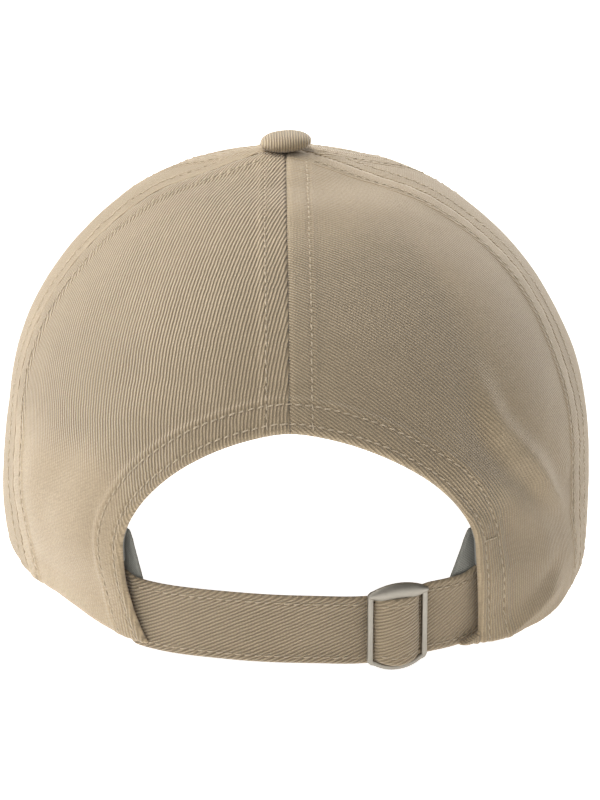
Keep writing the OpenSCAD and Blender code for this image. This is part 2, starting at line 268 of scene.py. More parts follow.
# Soft creases: points they run through (angle, height number), half width, depth (below zero stands up)
FOLDS = [
    ([(-42.0, 0.52), (-42.3, 0.55), (-43.6, 0.58), (-47.3, 0.613), (-51.2, 0.637), (-54.2, 0.662),
      (-58.5, 0.695)], 3.3, -1.0),
    ([(-37.0, 0.55), (-39.5, 0.592), (-45.0, 0.638), (-50.5, 0.675)], 5.0, 1.0),
    ([(-30.8, 0.6), (-37.2, 0.63), (-44.0, 0.652)], 4.5, -0.7),
    ([(-34.0, 0.655), (-50.0, 0.75)], 6.0, 0.4),
    ([(-41.5, 0.985), (-46.5, 0.955), (-56.5, 0.905)], 2.5, -0.9),
    ([(-38.0, 0.90), (-57.0, 0.84)], 4.5, 0.55),
    ([(-52.0, 0.80), (-66.0, 0.84)], 5.0, -0.4),
    ([(39.8, 0.488), (29.2, 0.485), (17.8, 0.491)], 6.0, 0.6),
    ([(40.0, 0.86), (60.0, 0.93)], 6.0, 0.7),
    ([(47.0, 0.60), (58.0, 0.72)], 7.0, 0.6),
    ([(120.0, 0.70), (150.0, 0.80)], 8.0, 0.8),
    ([(-110.0, 0.62), (-150.0, 0.72)], 8.0, 0.8),
]


def folds(p):
    """How far the creases lift the cloth."""
    out = np.zeros(p.shape[:-1])
    for points, half, deep in FOLDS:
        c = skin(*np.array(points).T)
        run = run_along(c)
        best, where = np.full(p.shape[:-1], 1e9), np.zeros(p.shape[:-1])
        for k in range(len(c) - 1):
            ab = c[k + 1] - c[k]
            x = ((p - c[k]) @ ab) / (ab @ ab)
            x = np.clip(x, -9 if k == 0 else 0, 9 if k == len(c) - 2 else 1)
            d = np.linalg.norm(p - (c[k] + x[..., None] * ab), axis=-1)
            where = np.where(d < best, (run[k] + x * (run[k + 1] - run[k])) / run[-1], where)
            best = np.minimum(best, d)
        fade = smooth((where + 0.3) / 0.5) * smooth((1.3 - where) / 0.5)
        d = best + 1.5 * noise(p, 14, 3)
        out -= deep * fade * (bell(d, half) - 0.45 * bell(d - 2.1 * half, half))
    return out


def relief(p, edges):
    """Height of the cloth over the smooth skin, and a wear mark beside the named lines: real wear with painted
    highlights on folded and rolled edges, and painted shade in seam ditches and stitch grooves.
    """
    off = 0.42 * noise(p, 34, 1) + 0.2 * noise(p, 15, 2) + 0.07 * noise(p, 6, 4) + folds(p)
    wear_and_shading = np.zeros(p.shape[:-1])
    for name in edges:
        d, l = LINES[name].near(p)
        jit = 1.4 * noise(p, 9, 5)
        if name in ("arch", "hem"):
            rows = (ROW_IN, ROW_OUT) if name == "arch" else ()
            wide = 9.4 if name == "arch" else 7.0
            off += (0.42 if name == "arch" else 0.2) * (1 - smooth((d - wide) / 1.3))
            off -= 0.75 * (1 - np.clip(d / 1.2, 0, 1)) ** 2
            rope = np.sin(2 * np.pi * (l + 0.8 * d) / 3.6 + jit)
            off += (0.055 if name == "arch" else 0.03) * rope * bell(d - 4.5, 4.0)
            # the folded edge and the ridges of its twist are lighter: worn cloth, with a painted highlight
            wear_and_shading += 0.9 * bell(d, 0.9) + 0.25 * (0.5 + 0.5 * rope) * bell(d, 5.0)
        else:
            rows = (SEAM_ROW,)
            off += 0.34 * (1 - smooth((d - 7.4) / 1.4))
            off -= (0.42 if name == "rear" else 0.2) * bell(d, 0.5) * (0.8 + 0.35 * np.sin(2 * np.pi * l / 1.5))
            rope = np.sin(2 * np.pi * l / 4.4 + jit)
            off += 0.07 * rope * bell(d - 5.5, 3.0)
            # lighter on the rolled cloth beside the seam, worn and with a painted highlight; darker in the ditch
            # itself, a painted shade
            wear_and_shading += 0.55 * bell(d - 1.1, 0.7) - (0.6 if name == "rear" else 0.15) * bell(d, 0.45)
        for row in rows:
            g = bell(d - row, 0.62)
            off -= g * (0.2 + 0.1 * np.cos(2 * np.pi * l / PITCH))
            # painted shade in each stitch groove, and a painted highlight on the puckered cloth just beside it
            wear_and_shading += 0.25 * bell(d - row - 1.1, 0.8) - 0.28 * g
        off += 0.16 * noise(p, 4.5, 6) * bell(d, 9.0)
    return off, wear_and_shading


def place(th, s, off):
    """Points that stand off the skin, with the cap's unevenness."""
    return sway(skin(th, s) + normal(th, s) * np.asarray(off)[..., None])


# ---- meshes
def new_object(name, data):
    ob = bpy.data.objects.new(name, data)
    bpy.context.scene.collection.objects.link(ob)
    return ob


def look(ob, where, aim):
    """Puts a light or the camera in its place, turned towards a point."""
    ob.location = where
    ob.rotation_euler = (Vector(aim) - Vector(where)).to_track_quat("-Z", "Y").to_euler()


def new_mesh(name, verts, quads, uv=None, **marks):
    """A mesh from arrays in hem-frame millimetres. marks are numbers kept at each point, such as the cloth's wear with
    its painted highlights and shade.
    """
    verts = row_frame(np.asarray(verts, float).reshape(-1, 3))
    quads = np.asarray(quads, np.int32).reshape(-1, 4)
    a, b, c, d = (verts[quads[:, k]] for k in range(4))
    if (a * (np.cross(b, c) + np.cross(c, d))).sum() < 0:
        quads = quads[:, ::-1]
    loops = quads.ravel()
    me = bpy.data.meshes.new(name)
    me.vertices.add(len(verts))
    me.vertices.foreach_set("co", verts.ravel())
    me.loops.add(len(loops))
    me.loops.foreach_set("vertex_index", loops)
    me.polygons.add(len(quads))
    me.polygons.foreach_set("loop_start", (np.arange(len(quads)) * 4).astype(np.int32))
    me.polygons.foreach_set("use_smooth", np.ones(len(quads), bool))
    if uv is not None:
        layer = me.uv_layers.new(name="cut")
        layer.data.foreach_set("uv", np.asarray(uv, float).reshape(-1, 2)[loops].ravel())
    for mark, value in marks.items():
        at = me.attributes.new(mark, "FLOAT", "POINT")
        at.data.foreach_set("value", np.asarray(value, float).ravel())
    me.update(calc_edges=True)
    me.validate()
    return new_object(name, me)


def grid(rows, cols, closed=(False, False)):
    """The quads of a grid of points, which may close on itself either way."""
    i = np.arange(rows if closed[0] else rows - 1)[:, None]
    j = np.arange(cols if closed[1] else cols - 1)[None]
    i1, j1 = (i + 1) % rows, (j + 1) % cols
    return join(i * cols + j, i1 * cols + j, i1 * cols + j1, i * cols + j1).reshape(-1, 4)


TURNED = [0, 3, 2, 1]       # the same quad with its face the other way


def rim_of(rows, cols):
    """The points round the edge of a grid, in order."""
    return np.concatenate([np.arange(cols), np.arange(1, rows) * cols + cols - 1,
                           (rows - 1) * cols + np.arange(cols - 2, -1, -1), np.arange(rows - 2, 0, -1) * cols])


def shell(name, front, back, uv, mid_out=0.0, wear_and_shading=0.0, wash=None):
    """A closed cloth piece from two grids. mid_out pushes the rim outwards to round it."""
    nj, ni = front.shape[:2]
    mid_out, wear_and_shading = (np.broadcast_to(x, (nj, ni)) for x in (mid_out, wear_and_shading))
    n = ni * nj
    ring = rim_of(nj, ni)
    flat_f, flat_b = front.reshape(-1, 3), back.reshape(-1, 3)
    mid = (flat_f[ring] + flat_b[ring]) / 2
    j, i = ring // ni, ring % ni
    ji = np.clip(j, 1, nj - 2) * ni + np.clip(i, 1, ni - 2)
    mid = mid + unit(flat_f[ring] - flat_f[ji]) * mid_out[j, i][:, None]
    k = np.arange(len(ring))
    k1 = (k + 1) % len(ring)
    m = 2 * n + k
    m1 = 2 * n + k1
    wall = np.concatenate([join(ring[k1], ring[k], m, m1),
                           join(m1, m, ring[k] + n, ring[k1] + n)])
    uv, wear_and_shading = uv.reshape(-1, 2), wear_and_shading.ravel()
    marks = {"wear_and_shading": np.concatenate([wear_and_shading, wear_and_shading * 0, wear_and_shading[ring]])}
    if wash is not None:
        wash = wash.ravel()
        marks["wash"] = np.concatenate([wash, wash, wash[ring]])
    quads = grid(nj, ni)
    return new_mesh(name, np.concatenate([flat_f, flat_b, mid]), np.concatenate([quads[:, TURNED], quads + n, wall]),
                    np.concatenate([uv, uv, uv[ring]]), **marks)


def gore_uv(th, s, middle):
    """Flat cutting coordinates of a panel in millimetres, with the grain along its middle."""
    r_t = per_degree(np.full(1201, middle), np.maximum(S_TABLE, 1e-3)) * DEGREES
    slope = np.clip(np.gradient(r_t, RHO_TABLE + np.arange(1201) * 1e-9), 0.02, 1)
    r, k = np.interp(s, S_TABLE, r_t), np.interp(s, S_TABLE, slope)
    cone = r / k
    turn = r * np.radians(th - middle) / cone
    return join(cone * np.sin(turn), -(rho(s) - cone * (1 - np.cos(turn))))


def area_of(p):
    a, b, c, d = p[:-1, :-1], p[:-1, 1:], p[1:, 1:], p[1:, :-1]
    return float((np.linalg.norm(np.cross(c - a, b - a), axis=-1) + np.linalg.norm(
        np.cross(c - a, d - a), axis=-1)).sum() / 2) / 1e6


def dense(parts):
    """Numbers from 0 to 1, given as (upper end, steps)."""
    out, at = [np.zeros(1)], 0.0
    for end, steps in parts:
        out.append(np.linspace(at, end, steps + 1)[1:])
        at = end
    return np.concatenate(out)


ROUND = 0.35        # how far a folded edge of a panel is pushed out


def cloth_panel(name, th, s, edges, middle, rim):
    """A panel on a grid of skin points. Its weave is washed out where wash is high."""
    p = skin(th, s)
    off, wear_and_shading = relief(p, edges)
    front, back = place(th, s, off), place(th, s, np.minimum(off * 0.5, 0.1) - CLOTH)
    uv = gore_uv(th, s, middle)
    if middle == -REAR_MID:
        z = (rho(s) - rho(0.66)) / 12
        uv[..., 0] -= 0.58 * 12 * np.where(z < 1, np.maximum(z, 0) ** 2 / 2, z - 0.5)
        uv[..., 0] *= 1 + 0.25 * smooth(z)
        valley = (0.7 - 0.18 * smooth((s - 0.7) / 0.1)) * smooth((-th - 37) / 8) * smooth((s - 0.42) / 0.14)
        wash = np.maximum(0.55 * smooth((-th - 38) / 10), 0.6 * (1 - smooth((s - 0.2) / 0.12)))
        wash = np.maximum(wash, np.maximum(valley, 0.4 * smooth(z)))
    elif middle == REAR_MID:
        wash = 0.88 * smooth((s - 0.56) / 0.1) * smooth((th - 29) / 10)
    else:
        wash = 0.3 + 0 * s
    ob = shell(name, front, back, uv, rim, wear_and_shading, wash)
    wide = float(np.abs(np.diff(th[len(th) // 2:], axis=1)).sum(1).max() * MM_PER_DEGREE) / 1000
    area = area_of(p)
    length = float(rho(s.max()) - rho(s.min())) / 1000
    wide = max(wide, area / length * 1.02)
    return ob, (wide, length), area


def plain_panel(name, lo, hi, edges, middle):
    """A panel between two seams."""
    s = s_at(dense([(0.03, 6), (0.965, 150), (1, 14)]) * (RHO_TABLE[-1] - 1.4) + 1.4)
    mm = per_degree((hi(s) + lo(s)) / 2, s)
    width = (hi(s) - lo(s)) * mm
    share = np.minimum(9.6, 0.42 * width) / width
    k = dense([(0.3, 22), (0.7, 36), (1, 22)])
    t = np.where(k[None] < 0.3, k[None] / 0.3 * share[:, None], np.where(
        k[None] > 0.7, 1 - (1 - k[None]) / 0.3 * share[:, None],
        share[:, None] + (k[None] - 0.3) / 0.4 * (1 - 2 * share[:, None])))
    a, b = lo(s) + SEAM_GAP / mm, hi(s) - SEAM_GAP / mm
    th = a[:, None] + (b - a)[:, None] * t
    rim = np.zeros(th.shape)
    rim[-1] = ROUND
    return cloth_panel(name, th, np.repeat(s[:, None], len(k), 1), edges + ["hem"], middle, rim)


def rear_panel(name, sign, opening, edges, middle):
    """A rear panel, filled in between the rear seam (a), the opening (b), the hem (c) and the side seam (d)."""
    def chart(th, s):
        r = rho(s)
        return join(r * np.sin(np.radians(th)), r * np.cos(np.radians(th)))

    def even(th, s, k):
        length = run_along(skin(th, s))
        at = k * length[-1]
        return chart(np.interp(at, length, th), np.interp(at, length, s))

    v = dense([(0.13, 28), (0.87, 62), (1, 28)])
    u = dense([(0.12, 30), (0.95, 118), (1, 12)])
    s_a = np.linspace(O_TOP, 0.008, 400)
    gap = SEAM_GAP / per_degree(np.zeros(400), s_a)
    side_b = even(np.maximum(opening(S_OPEN), 0.08), S_OPEN, u)
    s_d = np.linspace(0.008, 1, 500)
    side_d = even(rear_seam(s_d) - SEAM_GAP / per_degree(rear_seam(s_d), s_d), s_d, u)
    side_a = even(gap, s_a, v)
    hem_th = np.linspace(opening(np.array([1.0]))[0], rear_seam(np.array([1.0]))[0] - 0.08, 200)
    side_c = even(hem_th, np.ones(200), v)
    side_a[-1] = side_d[0]
    U, V = u[:, None, None], v[None, :, None]
    g = (1 - V) * side_b[:, None] + V * side_d[:, None] + (1 - U) * side_a[None] + U * side_c[None] - (
        (1 - U) * (1 - V) * side_b[0] + U * (1 - V) * side_b[-1] + (1 - U) * V * side_d[0] + U * V * side_d[-1])
    th = np.degrees(np.arctan2(g[..., 0], g[..., 1]))
    s = s_at(np.hypot(g[..., 0], g[..., 1]))
    if sign < 0:
        th, s = -th[:, ::-1], s[:, ::-1]
    rim = np.zeros(th.shape)
    rim[-1] = rim[:, 0 if sign > 0 else -1] = ROUND
    return cloth_panel(name, th, s, edges + ["rear", "arch", "hem"], middle, rim)


# ---- materials
class Nodes:
    def __init__(self, name):
        self.mat = bpy.data.materials.new(name)
        self.mat.use_nodes = True
        self.t = self.mat.node_tree
        self.t.nodes.clear()
        self.out = self.t.nodes.new("ShaderNodeOutputMaterial")
        self.bsdf = self.t.nodes.new("ShaderNodeBsdfPrincipled")
        self.link(self.bsdf.outputs[0], self.out.inputs[0])

    def link(self, a, b):
        self.t.links.new(a, b)

    def put(self, value, socket):
        if isinstance(value, (int, float, tuple)):
            socket.default_value = value
        else:
            self.link(value, socket)

    def math(self, op, a, b=0.0, c=0.0, clamp=False):
        n = self.t.nodes.new("ShaderNodeMath")
        n.operation, n.use_clamp = op, clamp
        for k, x in enumerate((a, b, c)):
            self.put(x, n.inputs[k])
        return n.outputs[0]

    def add(self, a, b, clamp=False):
        return self.math("ADD", a, b, clamp=clamp)

    def mul(self, a, b):
        return self.math("MULTIPLY", a, b)

    def less(self, a, b):
        return self.math("SUBTRACT", a, b)

    def noise(self, vector, scale, detail=3.0, rough=0.55, dist=0.0):
        n = self.t.nodes.new("ShaderNodeTexNoise")
        for key, x in zip(("Vector", "Scale", "Detail", "Roughness", "Distortion"),
                          (vector, scale, detail, rough, dist)):
            self.put(x, n.inputs[key])
        return n.outputs[0]

    def mix(self, fac, a, b):
        n = self.t.nodes.new("ShaderNodeMix")
        n.data_type, n.blend_type = "RGBA", "MIX"
        self.put(fac, n.inputs[0])
        self.put(a, n.inputs[6])
        self.put(b, n.inputs[7])
        return n.outputs[2]

    def range(self, x, a, b, c, d):
        n = self.t.nodes.new("ShaderNodeMapRange")
        for k, val in enumerate((x, a, b, c, d)):
            self.put(val, n.inputs[k])
        return n.outputs[0]

    def uv(self, turn=0.0):
        n = self.t.nodes.new("ShaderNodeUVMap")
        n.uv_map = "cut"
        m = self.t.nodes.new("ShaderNodeMapping")
        m.inputs["Rotation"].default_value = (0, 0, math.radians(turn))
        self.link(n.outputs[0], m.inputs[0])
        return m.outputs[0]

    def place(self):
        n = self.t.nodes.new("ShaderNodeTexCoord")
        return n.outputs["Object"]

    def split(self, v):
        n = self.t.nodes.new("ShaderNodeSeparateXYZ")
        self.link(v, n.inputs[0])
        return n.outputs

    def attribute(self, name):
        n = self.t.nodes.new("ShaderNodeAttribute")
        n.attribute_name = name
        return n.outputs["Fac"]

    def bump(self, height, metres, strength=1.0):
        n = self.t.nodes.new("ShaderNodeBump")
        for key, x in (("Strength", strength), ("Distance", metres), ("Height", height)):
            self.put(x, n.inputs[key])
        self.link(n.outputs[0], self.bsdf.inputs["Normal"])

    def set(self, **kw):
        """Values or links for the shader's sockets, with _ for each space in a name."""
        for k, x in kw.items():
            self.put(x, self.bsdf.inputs[k.replace("_", " ")])


def tone(rgb, k):
    """A colour made k times as bright, with its alpha."""
    return tuple(min(1.0, c * k) for c in rgb) + (1.0,)


def twill(name, rgb, turn, pitch=0.78, contrast=0.62, worn_and_shaded=True, depth=0.00034, sheen=0.25):
    """Cotton twill: slanting ribs of twisted yarn, slubs, washed-out patches, and a wear mark that lightens worn edges
    with painted highlights and darkens seam ditches and stitch grooves with painted shade.
    """
    n = Nodes(name)
    uv = n.uv(turn)
    x, y, _ = n.split(uv)
    wob = n.noise(uv, 0.22, 2)
    x2 = n.add(x, n.mul(n.less(wob, 0.5), 0.5))
    rib = n.math("SINE", n.mul(x2, 2 * math.pi / pitch))
    if worn_and_shaded:
        rib = n.mul(rib, n.less(1.0, n.attribute("wash")))
    rib01 = n.math("MULTIPLY_ADD", rib, 0.5, 0.5)
    line = n.math("FLOOR", n.math("DIVIDE", x2, pitch))
    seg = n.math("SINE", n.add(n.mul(y, 2 * math.pi / 0.95), n.mul(line, 2.4)))
    seg01 = n.math("MULTIPLY_ADD", seg, 0.5, 0.5)
    slub = n.noise(uv, 1.3, 3, 0.6)
    twist = n.mul(rib01, seg01)
    height = n.add(n.mul(rib01, 0.72), n.mul(twist, 0.35))
    height = n.add(height, n.mul(slub, 0.45))
    cloud = n.noise(n.place(), 38, 4, 0.6, 0.4)
    fine = n.noise(uv, 2.6, 2, 0.7)
    grain = n.math("MULTIPLY_ADD", n.attribute("wash"), 0.5, 0.34) if worn_and_shaded else 0.34
    tint = n.add(n.mul(n.less(rib01, 0.5), contrast), n.mul(n.less(fine, 0.5), grain))
    tint = n.add(tint, n.mul(n.less(cloud, 0.5), 0.30))
    if worn_and_shaded:
        speck = n.mul(n.less(n.noise(uv, 0.95, 2, 0.7), 0.5), n.attribute("wash"))
        tint = n.add(tint, n.mul(speck, 0.8))
        # the wear mark: real wear and painted highlights lighten the cloth, painted shade in the grooves darkens it
        tint = n.add(tint, n.mul(n.attribute("wear_and_shading"), 0.26))
    fac = n.math("MULTIPLY_ADD", tint, 0.9, 0.5, clamp=True)
    warm = (rgb[0] * 1.42, rgb[1] * 1.40, rgb[2] * 1.34)
    cool = (rgb[0] * 0.60, rgb[1] * 0.585, rgb[2] * 0.57)
    n.set(Base_Color=n.mix(fac, tone(cool, 1), tone(warm, 1)), Roughness=0.92,
          Specular_IOR_Level=0.18, Sheen_Weight=sheen, Sheen_Roughness=0.55)
    n.bump(height, depth)
    return n.mat


def plain_weave(name, rgb, pitch=0.45, depth=0.00008):
    n = Nodes(name)
    uv = n.uv()
    x, y, _ = n.split(uv)
    a = n.math("SINE", n.mul(x, 2 * math.pi / pitch))
    b = n.math("SINE", n.mul(y, 2 * math.pi / pitch))
    both = n.math("MULTIPLY_ADD", n.mul(a, b), 0.5, 0.5)
    fine = n.noise(uv, 1.8, 3, 0.6)
    fac = n.add(n.mul(both, 0.5), n.mul(fine, 0.5), clamp=True)
    n.set(Base_Color=n.mix(fac, tone(rgb, 0.72), tone(rgb, 1.25)), Roughness=0.9,
          Specular_IOR_Level=0.2, Sheen_Weight=0.15)
    n.bump(both, depth)
    return n.mat


def thread_material(name, rgb):
    n = Nodes(name)
    p = n.place()
    ply = n.noise(p, 2600, 2, 0.5)
    n.set(Base_Color=n.mix(ply, tone(rgb, 0.82), tone(rgb, 1.16)), Roughness=0.62, Specular_IOR_Level=0.3)
    n.bump(ply, 0.00004)
    return n.mat


def metal(name, rgb, rough):
    n = Nodes(name)
    p = n.place()
    brush = n.noise(p, 900, 4, 0.6)
    patch = n.noise(p, 160, 3, 0.5)
    fac = n.add(n.mul(brush, 0.45), n.mul(patch, 0.55), clamp=True)
    n.set(Base_Color=n.mix(fac, tone(rgb, 0.78), tone(rgb, 1.12)), Metallic=1.0,
          Roughness=n.range(patch, 0.25, 0.75, rough - 0.06, rough + 0.12))
    n.bump(brush, 0.000015, 0.6)
    return n.mat


KHAKI = (0.365, 0.287, 0.192)
GREEN = (0.285, 0.287, 0.265)
mat_left = twill("twill_left", KHAKI, 9, 1.05, 0.95, True, 0.00044)
mat_right = twill("twill_right", KHAKI, 38, 0.88, 0.85, True, 0.00038)
mat_side = twill("twill_side", KHAKI, 20, 0.95, 0.9, True, 0.0004)
mat_strap = twill("twill_strap", (0.335, 0.265, 0.18), 64, 0.94, 0.95, True, 0.00038)
mat_fold = twill("twill_fold", (0.36, 0.285, 0.193), 75, 0.95, 0.6, True, 0.0003)
mat_button = twill("twill_button", KHAKI, -2, 0.8, 0.8, False)
mat_visor = twill("twill_visor", KHAKI, 60)
mat_under = twill("twill_under", KHAKI, -60)
mat_band = twill("twill_band", GREEN, 55, 0.6, 0.2, False, 0.0001, 0.15)
mat_tape = plain_weave("tape_weave", GREEN)
mat_thread = thread_material("thread", (0.49, 0.40, 0.285))
mat_thread_green = thread_material("thread_green", (0.30, 0.31, 0.27))
mat_buckle = metal("buckle_nickel", (0.42, 0.388, 0.332), 0.47)
mat_button_metal = metal("button_steel", (0.55, 0.55, 0.54), 0.42)


def dress(ob, mat, body):
    ob.data.materials.append(mat)
    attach(ob, body)
    return ob


# ---- panels
PANELS = {
    "rear_left": (rear_panel, 1, open_left, ["rear_left"], REAR_MID, mat_left),
    "rear_right": (rear_panel, -1, toe_right, ["rear_right"], -REAR_MID, mat_right),
    "side_left": (plain_panel, rear_seam, SEAMS["front_left"], ["rear_left", "front_left"], SIDE_MID, mat_side),
    "side_right": (plain_panel, SEAMS["front_right"], SEAMS["rear_right"], ["rear_right", "front_right"],
                   -SIDE_MID, mat_side),
    "front_left": (plain_panel, SEAMS["front_left"], SEAMS["front"], ["front_left", "front"], FRONT_MID, mat_left),
    "front_right": (plain_panel, lambda s: -180 + 0 * s, SEAMS["front_right"], ["front_right", "front"],
                    -FRONT_MID, mat_right),
}
for part, (make, first, second, edges, middle, mat) in PANELS.items():
    ob, flat, area = make(f"crown_{part}", first, second, edges, middle)
    dress(ob, mat, "cap")
    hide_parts("{}_panel_{}".format(*part.split("_")))


# ---- stitches
def stitches(name, p, n, mat=mat_thread, body="cap", pitch=PITCH, long=2.15, thick=0.21):
    """Dashes of thread along a line of points p with surface normals n."""
    length = run_along(p)
    count = int(length[-1] / pitch)
    rng = np.random.default_rng(len(name) * 7 + count)
    start = (np.arange(count) + 0.5) * length[-1] / count
    # one stitch: rings of points from end to end, thin and sunk at both ends
    rings = np.array([-0.5, -0.42, -0.2, 0.0, 0.2, 0.42, 0.5])
    radius = np.array([0.25, 0.8, 1.0, 1.03, 1.0, 0.8, 0.25])
    sink = np.array([-1.1, -0.45, 0.1, 0.25, 0.1, -0.45, -1.1])
    nr, sides, step = len(rings), 6, 0.05
    at = start[:, None] + rings[None] * (long * (1 + 0.06 * rng.standard_normal(count)))[:, None]

    def pick(arr, at):
        return np.stack([np.interp(at, length, arr[:, k]) for k in range(3)], -1)

    nn = unit(pick(n, at))
    side = unit(np.cross(nn, unit(pick(p, at + step) - pick(p, at - step))))
    slant = (np.linspace(-1, 1, nr)[None] * 0.16 + 0.04 * rng.standard_normal((count, 1)))[..., None]
    c = pick(p, at) + side * slant + nn * (sink * thick)[None, :, None]
    ang = (np.arange(sides) / sides * 2 * np.pi)[None, None, :, None]
    v = c[:, :, None] + thick * radius[None, :, None, None] * (
        side[:, :, None] * np.cos(ang) * 1.15 + nn[:, :, None] * np.sin(ang))
    b = (np.arange(count) * nr * sides)[:, None]
    t = b + (nr - 1) * sides
    quads = (b[..., None] + grid(nr, sides, (False, True))[:, TURNED]).reshape(-1, 4)
    caps = [b + [3, 2, 1, 0], b + [0, 5, 4, 3], t + [0, 1, 2, 3], t + [3, 4, 5, 0]]
    ob = new_mesh(name, v, np.concatenate([quads, *caps]))
    return dress(ob, mat, body)


def on_cloth(th, s, edges):
    """Points just over the cloth, and which way is out."""
    off, _ = relief(skin(th, s), edges)
    return place(th, s, off + 0.1), normal(th, s)


def seam_rows(name, centre, s0, s1, edges):
    """The two rows of stitches beside a seam."""
    s = np.linspace(s0, s1, 420)
    for side in (-1, 1):
        c = centre(s)
        th = c + side * SEAM_ROW / per_degree(c, s)
        p, n = on_cloth(th, s, edges)
        stitches(f"stitch_{name}_{'a' if side < 0 else 'b'}", p, n)


seam_rows("rear", lambda s: 0 * s, 0.05, s_at(rho(O_TOP) - 0.3), ["rear", "arch"])
for name, centre in SEAMS.items():
    seam_rows(name, centre, 0.055, 0.995, [name, "hem"])


def beside_arch(row):
    """Angle and height number of a line that keeps its distance from the opening's edge."""
    a = LINES["arch"]
    k = np.arange(6, len(a.th) - 6, 3)
    p0, p1 = skin(a.th[k - 5], a.s[k - 5]), skin(a.th[k + 5], a.s[k + 5])
    n = normal(a.th[k], a.s[k])
    out = unit(np.cross(n, p1 - p0))
    mid = skin(np.array(0.0), np.array(0.86))
    flip = np.sign(((a.p[k] - mid) * out).sum(-1))
    out = out * np.where(flip == 0, 1, flip)[:, None]
    et = skin(a.th[k] + 0.5, a.s[k]) - skin(a.th[k] - 0.5, a.s[k])
    es = (skin(a.th[k], a.s[k] + 0.004) - skin(a.th[k], a.s[k] - 0.004)) / 0.008
    want = out * row
    g11, g12, g22 = (et * et).sum(-1), (et * es).sum(-1), (es * es).sum(-1)
    b1, b2 = (want * et).sum(-1), (want * es).sum(-1)
    det = g11 * g22 - g12 * g12
    return a.th[k] + (b1 * g22 - b2 * g12) / det, a.s[k] + (b2 * g11 - b1 * g12) / det


for row, tag in ((ROW_IN, "inner"), (ROW_OUT, "outer")):
    th, s = beside_arch(row)
    keep = s < 0.995
    p, n = on_cloth(th[keep], s[keep], ["arch", "hem", "rear"])
    stitches(f"stitch_opening_{tag}", p, n)

# the short bar tack beside the wearer's right end of the opening
th = -np.linspace(36.2, 39.6, 30)
p, n = on_cloth(th, np.full(30, 0.707), ["arch"])
stitches("stitch_bar_tack", p, n, pitch=1.6, long=1.5, thick=0.24)


# ---- inside tapes, facing and sweatband
TAPE_TOP, TAPE_HALF, TAPE_IN, TAPE_THICK = 0.085, 4.0, 1.75, 0.45
FACING_ROWS = (9.2, 8.6, 7.0, 5.0, 3.0, 1.2, 0.5)


def tape_for(name, centre, stop, node):
    """A woven tape laid along a seam on the inside of the crown."""
    along = np.linspace(TAPE_TOP, stop, 150)
    k = np.array([-1, -0.92, -0.5, 0, 0.5, 0.92, 1.0])
    th = centre(along)[:, None] + k[None] * (TAPE_HALF / per_degree(centre(along), along))[:, None]
    s = np.repeat(along[:, None], len(k), 1)
    crown = 0.12 * (1 - k ** 2)[None] + 0.05 * noise(skin(th, s), 5, 9)
    front, back = place(th, s, -TAPE_IN + 0 * crown), place(th, s, -TAPE_IN - TAPE_THICK - crown)
    uv = join(k[None] * TAPE_HALF + 0 * th, -rho(s))
    ob = shell(name, front, back, uv)
    dress(ob, mat_tape, "cap")
    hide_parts(node)


tape_for("tape_rear", lambda s: 0 * s, 0.485, "rear_seam_tape")
for name, centre in SEAMS.items():
    tape_for(f"tape_{name}", centre, 0.985, f"{name}_seam_tape")

th, s = np.array([[x[::3][::-1] for x in beside_arch(row)] for row in FACING_ROWS]).swapaxes(0, 1)
keep = skin(th, s)[..., 2].min(0) > 22.6     # it stops above the sweatband
th, s = th[:, keep], s[:, keep]
p = skin(th, s)
along = run_along(p[3])
uv = join(along[None] + 0 * th, np.array(FACING_ROWS)[:, None] + 0 * th)
ob = shell("facing_tape", place(th, s, -1.8 + 0 * th), place(th, s, -2.4 + 0.06 * noise(p, 5, 8)), uv)
dress(ob, mat_tape, "cap")
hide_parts("opening_facing")

BAND_A, BAND_B, BAND_W = HALF_W * (1 - PULL_S) - 3.4, HALF_L * (1 - PULL_E) - 3.4, 32.0


def band_point(th, h, inner):
    """The sweatband's outer face at an angle and a share of its width, moved inwards."""
    t = np.radians(th)
    return join((BAND_A - inner) * np.sin(t), (BAND_B - inner) * np.cos(t),
                hem_rise(th) + 0.4 + h * (BAND_W - 0.4))


h = dense([(0.03, 3), (0.1, 4), (0.9, 16), (0.97, 4), (1, 3)])[::-1]
k = dense([(0.01, 4), (0.99, 300), (1, 4)])
# both ends are cut back towards the hem, to clear the opening
start = O_HALF + 0.6 - 11 * (1 - h) / BAND_B * DEGREES
stop = 360 - O_HALF - 0.6 + 17 * (1 - h) / BAND_B * DEGREES
th = start[:, None] + (stop - start)[:, None] * k[None]
hh = h[:, None] + 0 * th
base = band_point(th, hh, 0 * th)
soft = 0.25 * noise(base, 14, 12) + 0.1 * noise(base, 5, 13)
edge = 0.35 * bell(hh - 1, 0.02) + 0.35 * bell(hh, 0.02)
front = band_point(th, hh, 0.1 + edge)
back = band_point(th, hh, 1.05 - edge - 0.2 * np.abs(soft) + 0.12 * bell(hh - 0.9, 0.03))
uv = join(th * MM_PER_DEGREE, hh * BAND_W)
ob = shell("sweatband_cloth", sway(front), sway(back), uv, 0.1)
dress(ob, mat_band, "cap")
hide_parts("sweatband")
tt = np.linspace(44, 316, 900)
for hgt, tag in ((0.885, "top"), (0.06, "bottom")):
    p = band_point(tt, hgt, 1.12)
    stitches(f"stitch_band_{tag}", sway(p), -outward(tt), mat_thread_green)


# ---- strap
def on_arc(phi, w, out):
    """phi in degrees from the back towards the wearer's left, out from the strap's outer face."""
    t = np.radians(phi)
    return join((STRAP_R + out) * np.sin(t), STRAP_C + (STRAP_R + out) * np.cos(t), w)


